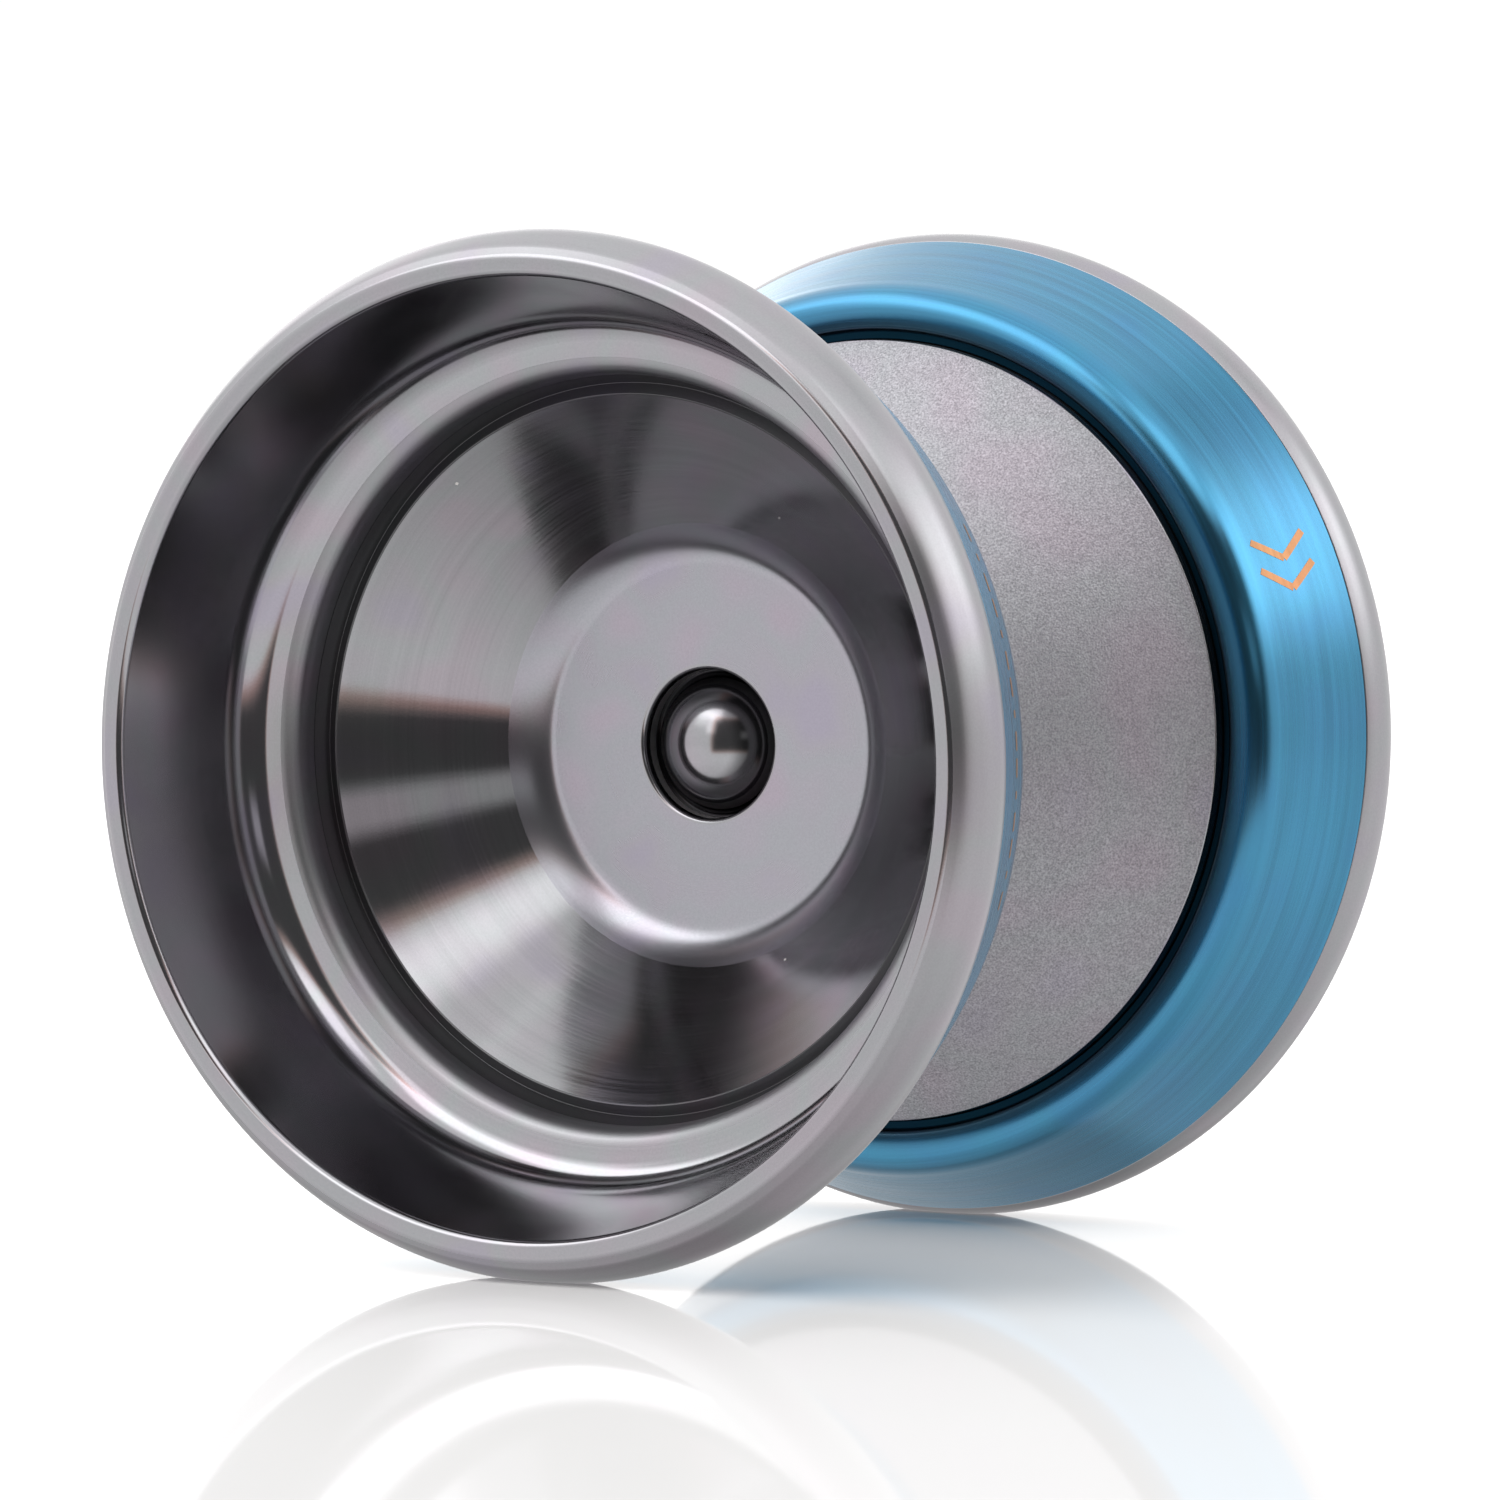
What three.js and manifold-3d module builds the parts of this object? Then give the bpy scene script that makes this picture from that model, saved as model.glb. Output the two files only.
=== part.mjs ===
// A bimetal, bearing-axle yo-yo: two turned aluminium halves, each with a steel weight ring pressed on
// behind its rim, screwed together on one threaded axle with a small ball bearing between them.
//
// Units are millimetres. The axle lies along Y, +Z is up, and the origin is on the axle in the middle of the
// string gap. A section is drawn for the half on the +Y side, as (radius, distance from the middle plane), and
// runs anticlockwise: out along the gap side, over the rim and back along the cup. The other half mirrors it.

import * as THREE from "three";
import { mergeVertices } from "three/addons/utils/BufferGeometryUtils.js";
import Module from "manifold-3d";

const wasm = await Module();
wasm.setup();

// ---------------------------------------------------------------- driving dimensions

const LIP_Y = 24.25; // half of the 48.5 mm width
const SEAM_R = 27.67; // where the weight ring meets the rim
const SEAM_Y = 20.14;
const RIM_TOP_R = 27.7; // where the rim's outer curve turns into its shoulder
const RIM_TOP_Y = 22.97;
const LIP_OUTER_R = 26.64; // the lip's narrow flat
const LIP_INNER_R = 26;
const MOUTH_R = 25.6; // the cup's mouth, inside the lip
const MOUTH_Y = 23.83;

const WALL_START_R = 9.8; // the blasted string wall, a straight cone
const WALL_START_Y = 2.2;
const WALL_END_R = 22.1;
const WALL_END_Y = 12.89;

const HUB_Y = 4.8; // the hub's flat face
const HUB_R = 10.1;
const WELL_R = 4.1; // the round well in the hub's face
const WELL_FLOOR_Y = 3.3;
const WELL_EDGE = 0.55; // radius of the well's rolled edge
const DOME_BASE_R = 3.9; // the dome over the end of the axle's hole, which all but fills the well
const DOME_HEIGHT = 2.7;

const AXLE_LENGTH = 10; // M4 x 10 set screw, a hexagon socket in each end
const AXLE_R = 2;
const AXLE_PITCH = 0.7;
const AXLE_ROOT_R = 1.6;
const AXLE_CHAMFER = 0.5;
const SOCKET_FLATS = 2;
const SOCKET_DEPTH = 2.2;

const BEARING_BORE_R = 3.175; // 6.35 x 12.7 x 4.76 mm, the common yo-yo bearing
const BEARING_R = 6.35;
const BEARING_HALF = 2.38;
const BALL_COUNT = 8;
const BALL_R = 0.785;
const BALL_CIRCLE_R = 4.7625;

const PAD_INNER_R = 7.15; // silicone response pad
const PAD_OUTER_R = 9.5;
const PAD_FACE_Y = 2.15;
const PAD_BACK_Y = 3.15;

const RING_GAP = 0.05; // between the weight ring and the half that it is pressed on
const TURNED_SIDES = 36;
const BEARING_SIDES = 32;

// ---------------------------------------------------------------- materials

function metal(colour, roughness) {
  return new THREE.MeshStandardMaterial({ color: colour, roughness, metalness: 1 });
}

function plastic(colour, roughness) {
  return new THREE.MeshStandardMaterial({ color: colour, roughness, metalness: 0 });
}

const ANODISED_GREY = metal(0xa8a7ad, 0.35);
const BLUE_STEEL = metal(0x2f93bd, 0.28);
const BEARING_STEEL = metal(0xc3c6ca, 0.2);
const SHIELD_STEEL = metal(0xb2b5b9, 0.32);
const AXLE_STEEL = metal(0x85888c, 0.35);
const SILICONE = plastic(0xe6e4de, 0.6);
const NYLON = plastic(0xd9d0b8, 0.45);

// ---------------------------------------------------------------- helpers

const model = new THREE.Group();

function place(name, geometry, material) {
  const mesh = new THREE.Mesh(geometry, material);
  mesh.name = name;
  model.add(mesh);
  return mesh;
}

// Turns a section about the axle, with a flat of the polygon, not a corner, at the bottom.
function turned(points, sides) {
  const corners = points.map(([r, y]) => new THREE.Vector2(r, y));
  return new THREE.LatheGeometry(corners, sides, Math.PI / sides);
}

function closed(points) {
  return [...points, points[0]];
}

// The same section on the -Y side. Reversing the order keeps the faces pointing out.
function mirrored(points) {
  return points.map(([r, y]) => [r, -y]).reverse();
}

// The points of a round stretch from angle to angle, in degrees, both ends included.
function arc(centreR, centreY, radius, from, to, steps) {
  const curve = new THREE.EllipseCurve(centreR, centreY, radius, radius,
    THREE.MathUtils.degToRad(from), THREE.MathUtils.degToRad(to), to < from);
  return curve.getPoints(steps).map((p) => [p.x, p.y]);
}

// The points of a quadratic curve, without its first.
function bend(start, pull, end, steps) {
  const [a, b, c] = [start, pull, end].map(([r, y]) => new THREE.Vector2(r, y));
  return new THREE.QuadraticBezierCurve(a, b, c).getPoints(steps).slice(1).map((p) => [p.x, p.y]);
}

function solid(geometry) {
  const bare = geometry.clone();
  bare.deleteAttribute("normal");
  bare.deleteAttribute("uv");
  const merged = mergeVertices(bare, 1e-4);
  return new wasm.Manifold(new wasm.Mesh({
    numProp: 3,
    vertProperties: merged.attributes.position.array,
    triVerts: new Uint32Array(merged.index.array),
  }));
}

function geometryOf(manifold) {
  const mesh = manifold.getMesh();
  const geometry = new THREE.BufferGeometry();
  geometry.setAttribute("position", new THREE.BufferAttribute(mesh.vertProperties, 3));
  geometry.setIndex(new THREE.BufferAttribute(mesh.triVerts, 1));
  geometry.computeVertexNormals();
  return geometry;
}

// ---------------------------------------------------------------- the halves

const HOLE_R = 2.1; // clear of the axle's thread
const HOLE_END_Y = 5.25;
const POST_R = 3.15; // the post that the bearing's inner race sits on
const POST_FACE_Y = 0.2;
const POST_EDGE = 0.3;
const HOLE_MOUTH = 0.35; // countersink at the post's face
const HOLE_END_TAPER = 0.6; // what the drill's point leaves
const SHOULDER_R = 3.95; // the inner race's seat
const SEAT_Y = 2.4;
const POCKET_R = 6.7; // the pocket around the bearing
const POCKET_Y = 2.7;
const PAD_CLEARANCE = 0.1;

function axleHoleAndPost() {
  return [
    [0, HOLE_END_Y], [HOLE_R - HOLE_END_TAPER, HOLE_END_Y], [HOLE_R, HOLE_END_Y - HOLE_END_TAPER],
    [HOLE_R, POST_FACE_Y + HOLE_MOUTH], [HOLE_R + HOLE_MOUTH, POST_FACE_Y],
    [POST_R - POST_EDGE, POST_FACE_Y], [POST_R, POST_FACE_Y + POST_EDGE],
  ];
}

function bearingPocketAndPadGroove() {
  const grooveIn = PAD_INNER_R - PAD_CLEARANCE;
  const grooveOut = PAD_OUTER_R + PAD_CLEARANCE;
  const grooveFloor = PAD_BACK_Y + PAD_CLEARANCE;
  return [
    [POST_R, SEAT_Y], [SHOULDER_R, SEAT_Y], [SHOULDER_R, POCKET_Y],
    [POCKET_R, POCKET_Y], [POCKET_R, WALL_START_Y],
    [grooveIn, WALL_START_Y], [grooveIn, grooveFloor], [grooveOut, grooveFloor], [grooveOut, WALL_START_Y],
  ];
}

const REGISTER_TOP_Y = 14; // the ring's inner seat, a short cylinder at the end of the string wall
const CARRIER_R = 25.4; // the ring's outer seat, under the rim's flange
const CARRIER_Y = 17.2;

function stringWallAndRingSeat() {
  return [
    [WALL_START_R, WALL_START_Y], [WALL_END_R, WALL_END_Y], [WALL_END_R, REGISTER_TOP_Y],
    [CARRIER_R, CARRIER_Y], [CARRIER_R, SEAM_Y], [SEAM_R, SEAM_Y],
  ];
}

// Where each curve of the rim would turn if it were a sharp corner.
const BULGE = [28.5, 21.43]; // the rim's outer curve, which this puts at its full radius
const SHOULDER = [[27.5, 23.4], [27.12, 23.91], [26.89, 24.14]]; // from the outer curve to the lip
const MOUTH_CORNER = [25.72, LIP_Y]; // from the lip into the cup

function rim() {
  return [
    ...bend([SEAM_R, SEAM_Y], BULGE, [RIM_TOP_R, RIM_TOP_Y], 4),
    ...SHOULDER, [LIP_OUTER_R, LIP_Y], [LIP_INNER_R, LIP_Y],
    ...bend([LIP_INNER_R, LIP_Y], MOUTH_CORNER, [MOUTH_R, MOUTH_Y], 2),
  ];
}

const WALL_FOOT = [23.8, 17.5]; // the cup's side wall ends here
const WALL_HOLLOW = [23.26, 15.57];
const LEDGE_OUTER = [22.1, 15.32]; // a narrow ledge, which slopes a little towards the middle
const LEDGE_INNER = [20.8, 15.03];
const LEDGE_NOSE = [20.42, 14.95];
const GROOVE_TOP = [20.33, 13.6];
const GROOVE_FOOT = [19.9, 12.35]; // the narrow groove round the cone
const CONE_TOP = [19.3, 12.72];
const CONE_FOOT = [12, 6];
const HUB_HOLLOW = [10.7, HUB_Y]; // from the cone onto the hub

function cup() {
  return [
    WALL_FOOT,
    ...bend(WALL_FOOT, WALL_HOLLOW, LEDGE_OUTER, 2),
    LEDGE_INNER,
    ...bend(LEDGE_INNER, LEDGE_NOSE, GROOVE_TOP, 2),
    GROOVE_FOOT, CONE_TOP,
    CONE_FOOT,
    ...bend(CONE_FOOT, HUB_HOLLOW, [HUB_R, HUB_Y], 2),
  ];
}

function wellAndDome() {
  const radius = (DOME_BASE_R ** 2 + DOME_HEIGHT ** 2) / (2 * DOME_HEIGHT);
  const centreY = WELL_FLOOR_Y + DOME_HEIGHT - radius;
  const foot = THREE.MathUtils.radToDeg(Math.asin((WELL_FLOOR_Y - centreY) / radius));
  return [
    ...arc(WELL_R + WELL_EDGE, HUB_Y - WELL_EDGE, WELL_EDGE, 90, 180, 2),
    [WELL_R, WELL_FLOOR_Y],
    ...arc(0, centreY, radius, foot, 90, 6).slice(0, -1), [0, WELL_FLOOR_Y + DOME_HEIGHT],
  ];
}

const HALF_SECTION = [
  ...axleHoleAndPost(), ...bearingPocketAndPadGroove(), ...stringWallAndRingSeat(),
  ...rim(), ...cup(), ...wellAndDome(),
];

// ---------------------------------------------------------------- weight ring and response pad

const RING_NOSE_Y = 12.97; // the ring's nose, towards the gap
const RING_FACE_R = 22.6; // a narrow dark groove shows between the nose and the string wall
const RING_BEND_R = 25.32; // where the band's straight cone starts
const RING_BEND_Y = 14.36;

const RING_NOSE_R = 23.4; // the nose's flat ends here and its round shoulder starts
const RING_SHOULDER_R = 24.75;
const RING_EDGE = 0.2;
const RING_LIP = 0.3; // length of the ring's short inner cylinder

const RING_SECTION = [
  [RING_FACE_R, RING_NOSE_Y + RING_EDGE],
  [RING_NOSE_R, RING_NOSE_Y],
  ...bend([RING_NOSE_R, RING_NOSE_Y], [RING_SHOULDER_R, RING_NOSE_Y], [RING_BEND_R, RING_BEND_Y], 4),
  [SEAM_R, SEAM_Y - RING_GAP],
  [CARRIER_R + RING_GAP, SEAM_Y - RING_GAP],
  [CARRIER_R + RING_GAP, CARRIER_Y - RING_GAP],
  [WALL_END_R + RING_GAP, REGISTER_TOP_Y - RING_GAP],
  [WALL_END_R + RING_GAP, REGISTER_TOP_Y - RING_GAP - RING_LIP],
  [RING_FACE_R, REGISTER_TOP_Y - RING_GAP - RING_LIP],
];

const PAD_ROUND = 0.2;
const PAD_SECTION = [
  [PAD_INNER_R, PAD_FACE_Y + PAD_ROUND], [PAD_INNER_R + PAD_ROUND, PAD_FACE_Y],
  [PAD_OUTER_R - PAD_ROUND, PAD_FACE_Y], [PAD_OUTER_R, PAD_FACE_Y + PAD_ROUND],
  [PAD_OUTER_R, PAD_BACK_Y], [PAD_INNER_R, PAD_BACK_Y],
];

function half(side, section) {
  place(`${side}_body`, turned(section(HALF_SECTION), TURNED_SIDES), ANODISED_GREY);
  place(`${side}_weight_ring`, turned(section(closed(RING_SECTION)), TURNED_SIDES), BLUE_STEEL);
  place(`${side}_response_pad`, turned(section(closed(PAD_SECTION)), BEARING_SIDES), SILICONE);
}

half("left", mirrored);
half("right", (points) => points);

// ---------------------------------------------------------------- axle

const SHARP_CREST_R = AXLE_R + 0.08; // where the thread's flanks would meet

// A rod with a V thread: rows of corners that climb one pitch a turn, crest and root in turn. Its ends lie
// beyond the axle's, and are cut off with the crests.
function threadedRod(turns, columns) {
  const rows = 2 * turns;
  const corners = [];
  for (let row = 0; row <= rows; row++) {
    for (let column = 0; column < columns; column++) {
      const angle = (2 * Math.PI * column) / columns;
      const r = row % 2 ? SHARP_CREST_R : AXLE_ROOT_R;
      const y = (row / 2 + column / columns - turns / 2 - 0.5) * AXLE_PITCH;
      corners.push(r * Math.sin(angle), y, r * Math.cos(angle));
    }
  }
  // One turn on, a corner is two rows higher.
  const at = (row, column) => (column < columns ? row * columns + column : (row + 2) * columns);
  const faces = [];
  for (let row = 0; row < rows; row++) {
    // The last two rows have nothing a turn on to join, so they stop one column short.
    const last = row > rows - 3 ? columns - 1 : columns;
    for (let column = 0; column < last; column++) {
      const [a, b] = [at(row, column), at(row, column + 1)];
      const [c, d] = [at(row + 1, column), at(row + 1, column + 1)];
      faces.push(a, b, c, b, d, c);
    }
  }
  const far = turns * AXLE_PITCH;
  corners.push(0, -far, 0, 0, far, 0);
  const [low, high] = [corners.length / 3 - 2, corners.length / 3 - 1];
  const round = (row) => [...Array(columns).keys()].map((column) => at(row, column));
  const foot = [...round(0), at(2, 0), at(1, 0)];
  const head = [...round(rows), at(rows - 1, columns - 1), at(rows - 2, columns - 1)];
  foot.forEach((corner, i) => faces.push(low, foot[(i + 1) % foot.length], corner));
  head.forEach((corner, i) => faces.push(high, corner, head[(i + 1) % head.length]));
  return new wasm.Manifold(new wasm.Mesh({
    numProp: 3,
    vertProperties: new Float32Array(corners),
    triVerts: new Uint32Array(faces),
  }));
}

function chamferedRod(sides) {
  const end = AXLE_LENGTH / 2;
  return solid(turned([
    [0, -end], [AXLE_R - AXLE_CHAMFER, -end], [AXLE_R, AXLE_CHAMFER - end],
    [AXLE_R, end - AXLE_CHAMFER], [AXLE_R - AXLE_CHAMFER, end], [0, end],
  ], sides));
}

function hexagonSocket(direction) {
  const across = SOCKET_FLATS / 2 / Math.cos(Math.PI / 6);
  const socket = new THREE.CylinderGeometry(across, across, 2 * SOCKET_DEPTH, 6);
  socket.translate(0, (direction * AXLE_LENGTH) / 2, 0);
  return solid(socket);
}

function axle() {
  const columns = 12;
  const turns = Math.ceil(AXLE_LENGTH / AXLE_PITCH) + 2;
  let body = threadedRod(turns, columns).intersect(chamferedRod(columns));
  for (const direction of [-1, 1]) {
    body = body.subtract(hexagonSocket(direction));
  }
  return geometryOf(body);
}

place("axle", axle(), AXLE_STEEL);

// ---------------------------------------------------------------- bearing

const RACE_EDGE = 0.1;
const INNER_LAND_R = 4.15;
const OUTER_LAND_R = 5.3;
const TRACK_R = 0.83; // radius of the balls' tracks
const INNER_TRACK_CENTRE_R = 4.79;
const OUTER_TRACK_CENTRE_R = 4.76;
const SHIELD_SEAT_R = 5.95;
const SHIELD_SEAT_Y = 1.85;
const CLIP_GROOVE_R = 6.06;
const CLIP_GROOVE_Y = [2.1, 2.3];

// Where a ball track meets a race's land, as the angle from the track's centre.
function trackAngle(landR, centreR) {
  return THREE.MathUtils.radToDeg(Math.acos((landR - centreR) / TRACK_R));
}

function innerRaceSection() {
  const meets = trackAngle(INNER_LAND_R, INNER_TRACK_CENTRE_R);
  return [
    [BEARING_BORE_R, RACE_EDGE - BEARING_HALF], [BEARING_BORE_R + RACE_EDGE, -BEARING_HALF],
    [INNER_LAND_R - RACE_EDGE, -BEARING_HALF], [INNER_LAND_R, RACE_EDGE - BEARING_HALF],
    ...arc(INNER_TRACK_CENTRE_R, 0, TRACK_R, 360 - meets, meets, 4),
    [INNER_LAND_R, BEARING_HALF - RACE_EDGE], [INNER_LAND_R - RACE_EDGE, BEARING_HALF],
    [BEARING_BORE_R + RACE_EDGE, BEARING_HALF], [BEARING_BORE_R, BEARING_HALF - RACE_EDGE],
  ];
}

const STRING_TRACK_R = 6.1; // the outer race is waisted, so that the string runs in the middle
const STRING_TRACK_HALF = 0.85;
const STRING_RAMP_Y = 1.95;

function outerRaceSection() {
  const edge = 0.15;
  const meets = trackAngle(OUTER_LAND_R, OUTER_TRACK_CENTRE_R);
  const outside = [
    [BEARING_R - edge, -BEARING_HALF], [BEARING_R, edge - BEARING_HALF], [BEARING_R, -STRING_RAMP_Y],
    [STRING_TRACK_R, -STRING_TRACK_HALF], [STRING_TRACK_R, STRING_TRACK_HALF],
    [BEARING_R, STRING_RAMP_Y], [BEARING_R, BEARING_HALF - edge], [BEARING_R - edge, BEARING_HALF],
  ];
  const seat = [
    [SHIELD_SEAT_R, BEARING_HALF], [SHIELD_SEAT_R, CLIP_GROOVE_Y[1]], [CLIP_GROOVE_R, CLIP_GROOVE_Y[1]],
    [CLIP_GROOVE_R, CLIP_GROOVE_Y[0]], [SHIELD_SEAT_R, CLIP_GROOVE_Y[0]], [SHIELD_SEAT_R, SHIELD_SEAT_Y],
    [OUTER_LAND_R, SHIELD_SEAT_Y],
  ];
  const track = arc(OUTER_TRACK_CENTRE_R, 0, TRACK_R, meets, -meets, 4);
  return [...outside, ...seat, ...track, ...mirrored(seat)];
}

function balls(each) {
  for (let i = 0; i < BALL_COUNT; i++) {
    const angle = (2 * Math.PI * i) / BALL_COUNT;
    each(BALL_CIRCLE_R * Math.sin(angle), BALL_CIRCLE_R * Math.cos(angle), i + 1);
  }
}

const CAGE_INNER_R = 4.38;
const CAGE_OUTER_R = 5.12;
const CAGE_BACK_Y = -1.25;
const CAGE_PRONG_Y = 0.5;
const CAGE_POCKET_R = 0.87;

// A crown cage: a ring on one side of the balls, with prongs that reach between them and snap round them.
function cage() {
  let ring = solid(turned(closed([
    [CAGE_INNER_R, CAGE_BACK_Y], [CAGE_OUTER_R, CAGE_BACK_Y],
    [CAGE_OUTER_R, CAGE_PRONG_Y], [CAGE_INNER_R, CAGE_PRONG_Y],
  ]), BEARING_SIDES));
  balls((x, z) => {
    const pocket = new THREE.SphereGeometry(CAGE_POCKET_R, 12, 8);
    pocket.translate(x, 0, z);
    ring = ring.subtract(solid(pocket));
  });
  return geometryOf(ring);
}

place("bearing_inner_race", turned(closed(innerRaceSection()), BEARING_SIDES), BEARING_STEEL);
place("bearing_outer_race", turned(closed(outerRaceSection()), BEARING_SIDES), BEARING_STEEL);
place("bearing_cage", cage(), NYLON);
balls((x, z, number) => {
  const ball = place(`bearing_ball_${number}`, new THREE.SphereGeometry(BALL_R, 10, 8), BEARING_STEEL);
  ball.position.set(x, 0, z);
});

const SHIELD_INNER_R = 4.4;
const SHIELD_OUTER_R = 5.88;
const SHIELD_BACK_Y = 1.9;
const SHIELD_FACE_Y = 2.05;
const SHIELD_SECTION = [
  [SHIELD_INNER_R, SHIELD_BACK_Y], [SHIELD_OUTER_R, SHIELD_BACK_Y],
  [SHIELD_OUTER_R, SHIELD_FACE_Y], [SHIELD_INNER_R, SHIELD_FACE_Y],
];
const CLIP_INNER_R = 5.62;
const CLIP_OUTER_R = 6;
const CLIP_THICKNESS = 0.14;
const CLIP_PLAY = 0.03; // between the clip and each side of its groove
const CLIP_GAP = THREE.MathUtils.degToRad(24);

// The spring clip that holds a shield: a flat ring with a gap, in the race's groove.
function clip() {
  const outline = new THREE.Shape();
  const [start, end] = [CLIP_GAP / 2, 2 * Math.PI - CLIP_GAP / 2];
  outline.absarc(0, 0, CLIP_OUTER_R, start, end, false);
  outline.absarc(0, 0, CLIP_INNER_R, end, start, true);
  const options = { depth: CLIP_THICKNESS, bevelEnabled: false, curveSegments: 14 };
  const flat = new THREE.ExtrudeGeometry(outline, options);
  flat.translate(0, 0, CLIP_GROOVE_Y[0] + CLIP_PLAY);
  return flat;
}

place("left_shield", turned(mirrored(closed(SHIELD_SECTION)), BEARING_SIDES), SHIELD_STEEL);
place("right_shield", turned(closed(SHIELD_SECTION), BEARING_SIDES), SHIELD_STEEL);
place("left_snap_ring", clip(), SHIELD_STEEL).rotation.x = Math.PI / 2;
place("right_snap_ring", clip(), SHIELD_STEEL).rotation.x = -Math.PI / 2;

export default model;
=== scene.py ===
"""The looks of a bimetal yo-yo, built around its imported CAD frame.

Every turned piece is the CAD section drawn again, with its real edge breaks, and turned finely about the
axle, which lies along Y. Sections are in millimetres, as (radius, distance from the middle plane), for the
half on the +Y side; the other half mirrors them. Each stretch of a section names its finish.
"""
import math

import bmesh
import bpy
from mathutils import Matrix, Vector


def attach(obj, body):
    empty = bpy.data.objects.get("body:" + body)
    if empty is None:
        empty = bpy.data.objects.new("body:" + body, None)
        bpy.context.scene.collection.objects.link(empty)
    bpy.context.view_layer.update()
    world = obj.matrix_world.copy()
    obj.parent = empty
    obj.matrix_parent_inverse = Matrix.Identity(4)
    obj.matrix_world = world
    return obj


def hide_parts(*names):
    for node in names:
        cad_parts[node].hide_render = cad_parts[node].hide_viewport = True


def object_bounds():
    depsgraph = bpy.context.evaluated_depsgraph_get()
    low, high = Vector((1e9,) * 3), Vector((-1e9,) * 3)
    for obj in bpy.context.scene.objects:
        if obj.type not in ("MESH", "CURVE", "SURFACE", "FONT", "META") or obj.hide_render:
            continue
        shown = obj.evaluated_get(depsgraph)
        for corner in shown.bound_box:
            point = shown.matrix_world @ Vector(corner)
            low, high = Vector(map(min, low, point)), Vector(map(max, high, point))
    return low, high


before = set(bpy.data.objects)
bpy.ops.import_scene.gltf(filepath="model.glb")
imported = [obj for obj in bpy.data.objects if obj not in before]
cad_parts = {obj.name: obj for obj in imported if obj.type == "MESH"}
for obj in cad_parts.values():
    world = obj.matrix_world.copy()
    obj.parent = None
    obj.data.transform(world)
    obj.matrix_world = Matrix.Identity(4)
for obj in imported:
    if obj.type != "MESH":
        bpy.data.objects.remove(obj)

CAD_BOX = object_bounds()

MM = 0.001
TAU = 2 * math.pi
SIDES = 224  # of a half or a ring
SMALL_SIDES = 96  # of the bearing's pieces
EDGE = 0.06  # mm, the break on an edge that would otherwise be sharp


# ---------------------------------------------------------------- turned pieces

def corner(r, y, before=EDGE, after=None, finish=None):
    """A corner of a section, rounded from `before` mm ahead of it to `after` mm past it."""
    return {"at": Vector((r, y)), "before": before, "after": before if after is None else after,
            "finish": finish}


def shared_cuts(corners, closed):
    """How far each corner's rounding reaches each way, cut down where two would overlap."""
    count = len(corners)
    before = [c["before"] for c in corners]
    after = [c["after"] for c in corners]
    if not closed:
        before[0] = after[0] = before[-1] = after[-1] = 0
    for i in range(count if closed else count - 1):
        j = (i + 1) % count
        length = (corners[j]["at"] - corners[i]["at"]).length
        share = length / max(after[i] + before[j], length)
        after[i] *= share
        before[j] *= share
    return before, after


def outward(direction):
    """The outward normal of an anticlockwise section that runs in this direction."""
    return Vector((direction.y, -direction.x))


def outline(corners, closed):
    """Points along a section, as (point, outward normal, finish of the stretch that follows)."""
    before, after = shared_cuts(corners, closed)
    count = len(corners)
    finish = next(c["finish"] for c in reversed(corners) if c["finish"])
    points = []
    for i, here in enumerate(corners):
        finish = here["finish"] or finish
        at = here["at"]
        inbound = (at - corners[i - 1]["at"]).normalized()
        outbound = (corners[(i + 1) % count]["at"] - at).normalized()
        if not closed and i in (0, count - 1):
            axial = Vector((0, -1)) if i == 0 else Vector((0, 1))
            points.append((at, axial, finish))
            continue
        start = at - inbound * before[i]
        end = at + outbound * after[i]
        turn = math.degrees(inbound.angle(outbound))
        steps = max(2, math.ceil(turn / (3 if before[i] + after[i] > 0.5 else 12)))
        for step in range(steps + 1):
            t = step / steps
            point = start.lerp(at, t).lerp(at.lerp(end, t), t)
            direction = (at - start).lerp(end - at, t)
            points.append((point, outward(direction.normalized()), finish))
    kept = []
    for point in points:
        if kept and (point[0] - kept[-1][0]).length < 1e-4:
            kept.pop()
        kept.append(point)
    return kept


def mirrored(points, closed):
    """The same section on the -Y side, still anticlockwise."""
    flip = Vector((1, -1))
    turned = [(p * flip, n * flip, f) for p, n, f in reversed(points)]
    finishes = [f for _, _, f in turned]
    finishes = finishes[1:] + (finishes[:1] if closed else finishes[-1:])
    return [(p, n, f) for (p, n, _), f in zip(turned, finishes)]


def mesh_from(name, bm, normals, materials):
    """An object of this mesh, smooth, with the exact normals of the surface that it samples."""
    mesh = bpy.data.meshes.new(name)
    bm.to_mesh(mesh)
    bm.free()
    for material in materials:
        mesh.materials.append(material)
    mesh.polygons.foreach_set("use_smooth", [True] * len(mesh.polygons))
    if normals:
        mesh.normals_split_custom_set_from_vertices(normals)
    mesh.update()
    piece = bpy.data.objects.new(name, mesh)
    bpy.context.scene.collection.objects.link(piece)
    return piece


def band(bm, low, high, sides):
    """The faces between two rings of a turned skin, either of which may be one point on its axis."""
    steps = max(len(low), len(high))
    faces = []
    for k in range(sides):
        n = (k + 1) % steps
        if len(low) == 1:
            faces.append(bm.faces.new((low[0], high[n], high[k])))
        elif len(high) == 1:
            faces.append(bm.faces.new((low[k], low[n], high[0])))
        else:
            faces.append(bm.faces.new((low[k], low[n], high[n], high[k])))
    return faces


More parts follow.
